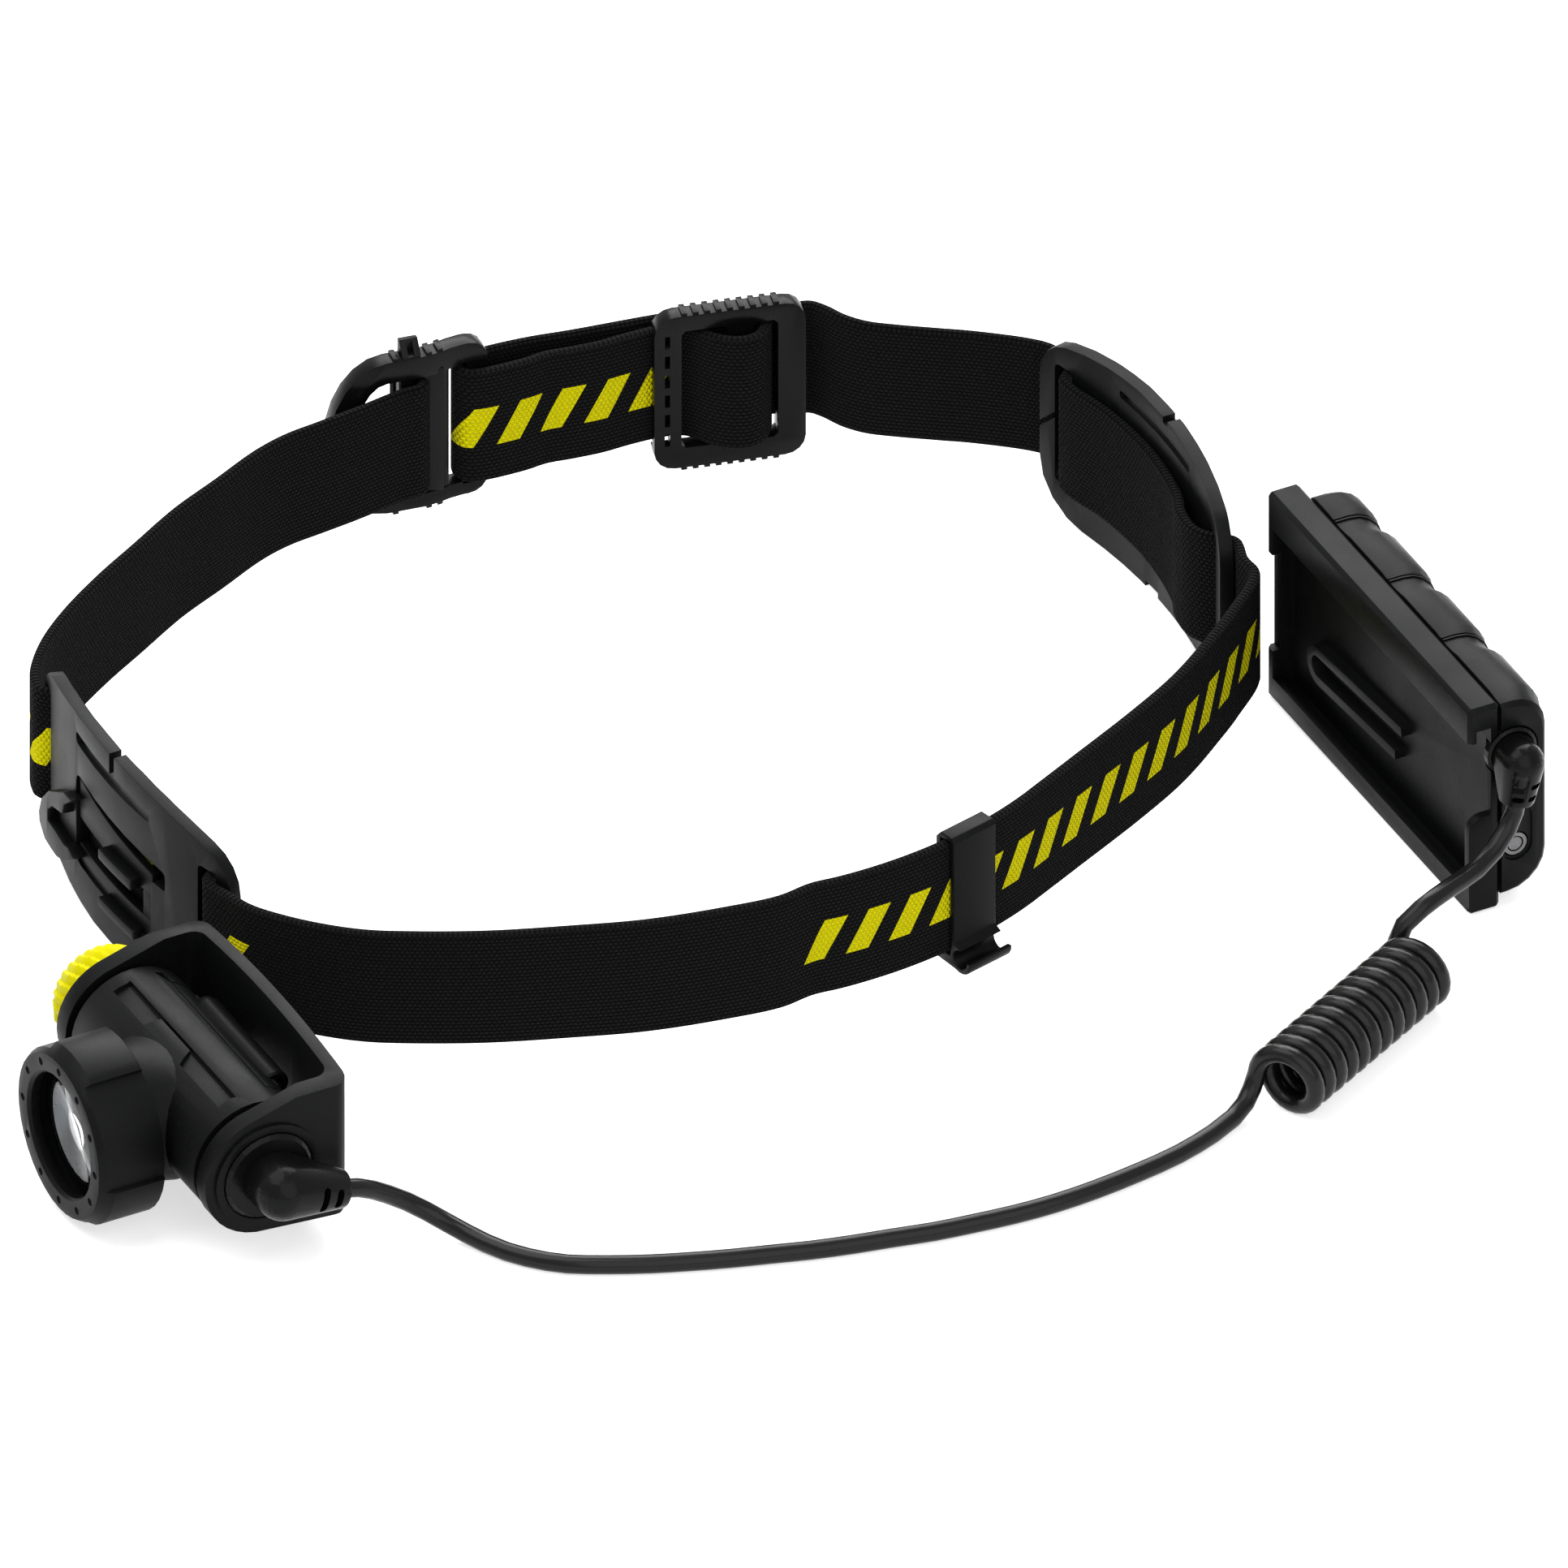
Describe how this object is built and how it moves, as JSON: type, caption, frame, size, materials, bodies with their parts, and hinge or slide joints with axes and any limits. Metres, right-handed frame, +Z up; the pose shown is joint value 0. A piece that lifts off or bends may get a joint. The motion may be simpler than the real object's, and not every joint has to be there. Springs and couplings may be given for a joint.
{
  "type": "cap lamp",
  "caption": "Work headlamp: elastic headband with slider buckles and mounting plates, tilting focusing lamp in a bracket, separate battery pack and coiled lead.",
  "frame": {"origin": "middle of the foot of everything but the lead, on the surface it stands on", "axes": "+Z up; -Y along the lamp's beam, towards the front of the headband; +X towards the side where lamp, cable clip and battery pack lie"},
  "size_m": [0.2593, 0.296, 0.0465],
  "materials": {
    "black_plastic": "fine-grained charcoal black injection moulding",
    "black_rubber": "satin black rubber",
    "cord_jacket": "smooth black cable sheath, slight gloss",
    "elastic_web": "black woven elastic with fine bead-like weave and yellow diagonal stripes",
    "yellow_plastic": "bright yellow moulding",
    "clear_lens": "clear polished optic",
    "aluminium": "turned aluminium",
    "spring_steel": "polished steel wire",
    "circuit_board": "green solder mask",
    "emitter_phosphor": "yellow phosphor under a clear dome",
    "cell_foil": "silver pouch foil"
  },
  "bodies": {
    "root": {"strap": "elastic_web", "front_mount_plate": "black_plastic", "rear_mount_plate": "black_plastic", "front_slider_buckle": "black_plastic", "rear_slider_buckle": "black_plastic", "lamp_yoke": "black_plastic", "left_pivot_washer": "black_rubber", "right_pivot_washer": "black_rubber", "lamp_gland_disc": "black_rubber", "lamp_strain_relief": "black_rubber", "battery_tray": "black_plastic", "battery_shell": "black_plastic", "pack_gasket": "black_rubber", "battery_cell": "cell_foil", "protection_board": "circuit_board", "contact_ring": "black_rubber", "charge_contact": "aluminium", "lead_socket": "black_rubber", "pack_strain_relief": "black_rubber", "lamp_lead": "cord_jacket", "coiled_lead": "cord_jacket", "pack_lead": "cord_jacket"},
    "head": {"lamp_housing": "black_plastic", "barrel_cover": "black_plastic", "left_trunnion": "black_plastic", "right_trunnion": "black_plastic", "heat_sink": "aluminium", "led_board": "circuit_board", "led_emitter": "emitter_phosphor", "driver_board": "circuit_board", "rotary_switch": "black_plastic", "wheel_return_spring": "spring_steel", "bezel_retaining_ring": "black_plastic", "bezel_seal": "black_rubber"},
    "bezel": {"focus_bezel": "black_plastic"},
    "optic": {"focus_lens": "clear_lens", "lens_carrier": "black_plastic"},
    "wheel": {"brightness_wheel": "yellow_plastic", "wheel_shaft": "spring_steel", "wheel_seal": "black_rubber"},
    "clip": {"cable_clip": "black_plastic"}
  },
  "joints": [
    {"name": "head_tilt", "type": "hinge", "parent": "root", "child": "head", "pos_m": [0.06466, -0.11995, 0.0195], "axis": [1, 0, 0], "range_deg": [-2, 80]},
    {"name": "focus_turn", "type": "hinge", "parent": "head", "child": "bezel", "pos_m": [0.06466, -0.11995, 0.0184], "axis": [0, 1, 0], "range_deg": [-1, 92]},
    {"name": "optic_slide", "type": "slide", "parent": "head", "child": "optic", "axis": [0, 1, 0], "range_m": [0, 0.0035]},
    {"name": "wheel_turn", "type": "hinge", "parent": "head", "child": "wheel", "pos_m": [0.06466, -0.11995, 0.0195], "axis": [1, 0, 0], "range_deg": [-25, 25], "stiffness_Nm_per_rad": 0.004},
    {"name": "clip_slide", "type": "hinge", "parent": "root", "child": "clip", "pos_m": [-0.01544, 0.01545, 0], "axis": [0, 0, 1], "range_deg": [-4, 4]}
  ],
  "couplings": [
    {"joint": "focus_turn", "follows": "optic_slide", "rad_per_m": 448.8}
  ]
}
